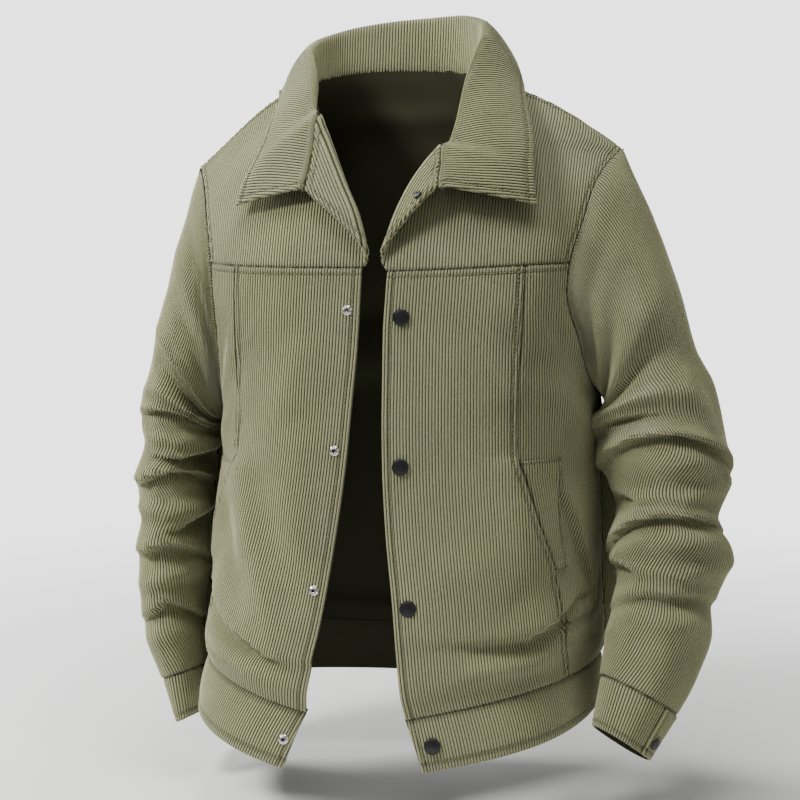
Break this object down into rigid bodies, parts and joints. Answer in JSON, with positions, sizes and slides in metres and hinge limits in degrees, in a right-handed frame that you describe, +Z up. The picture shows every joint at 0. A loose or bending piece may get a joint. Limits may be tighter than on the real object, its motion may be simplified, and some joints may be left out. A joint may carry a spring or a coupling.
{
  "type": "corduroy jacket",
  "caption": "Waist-length wide-wale corduroy jacket worn open, with a shirt collar, small turned-out lapels, yoke seams, slanted pockets, hem band and snap closing",
  "frame": {"origin": "the middle of the base of the wearer's neck, between the two places where the shoulders carry the jacket", "axes": "+Z up the body, -Y the way the wearer faces, +X the wearer's left"},
  "size_m": [0.6057, 0.3089, 0.7219],
  "materials": {
    "corduroy": "sage olive wide-wale corduroy, matt cut pile with a soft sheen",
    "dark_snaps": "black enamelled domed caps",
    "silver_studs": "polished nickel rings"
  },
  "bodies": {
    "root": {"front_yoke_left": "corduroy", "front_yoke_right": "corduroy", "front_panel_left": "corduroy", "front_panel_right": "corduroy", "front_side_left": "corduroy", "front_side_right": "corduroy", "pocket_facing_left": "corduroy", "pocket_facing_right": "corduroy", "lapel_facing_left": "corduroy", "lapel_facing_right": "corduroy", "sleeve_left": "corduroy", "sleeve_right": "corduroy", "cuff_left": "corduroy", "cuff_right": "corduroy", "back": "corduroy", "hem_band": "corduroy", "collar": "corduroy", "snap_cap_1": "dark_snaps", "snap_cap_2": "dark_snaps", "snap_cap_3": "dark_snaps", "snap_cap_4": "dark_snaps", "snap_lapel": "dark_snaps", "snap_cuff_left": "dark_snaps", "snap_cuff_right": "dark_snaps", "snap_stud_1": "silver_studs", "snap_stud_2": "silver_studs", "snap_stud_3": "silver_studs", "snap_stud_4": "silver_studs"}
  },
  "joints": []
}
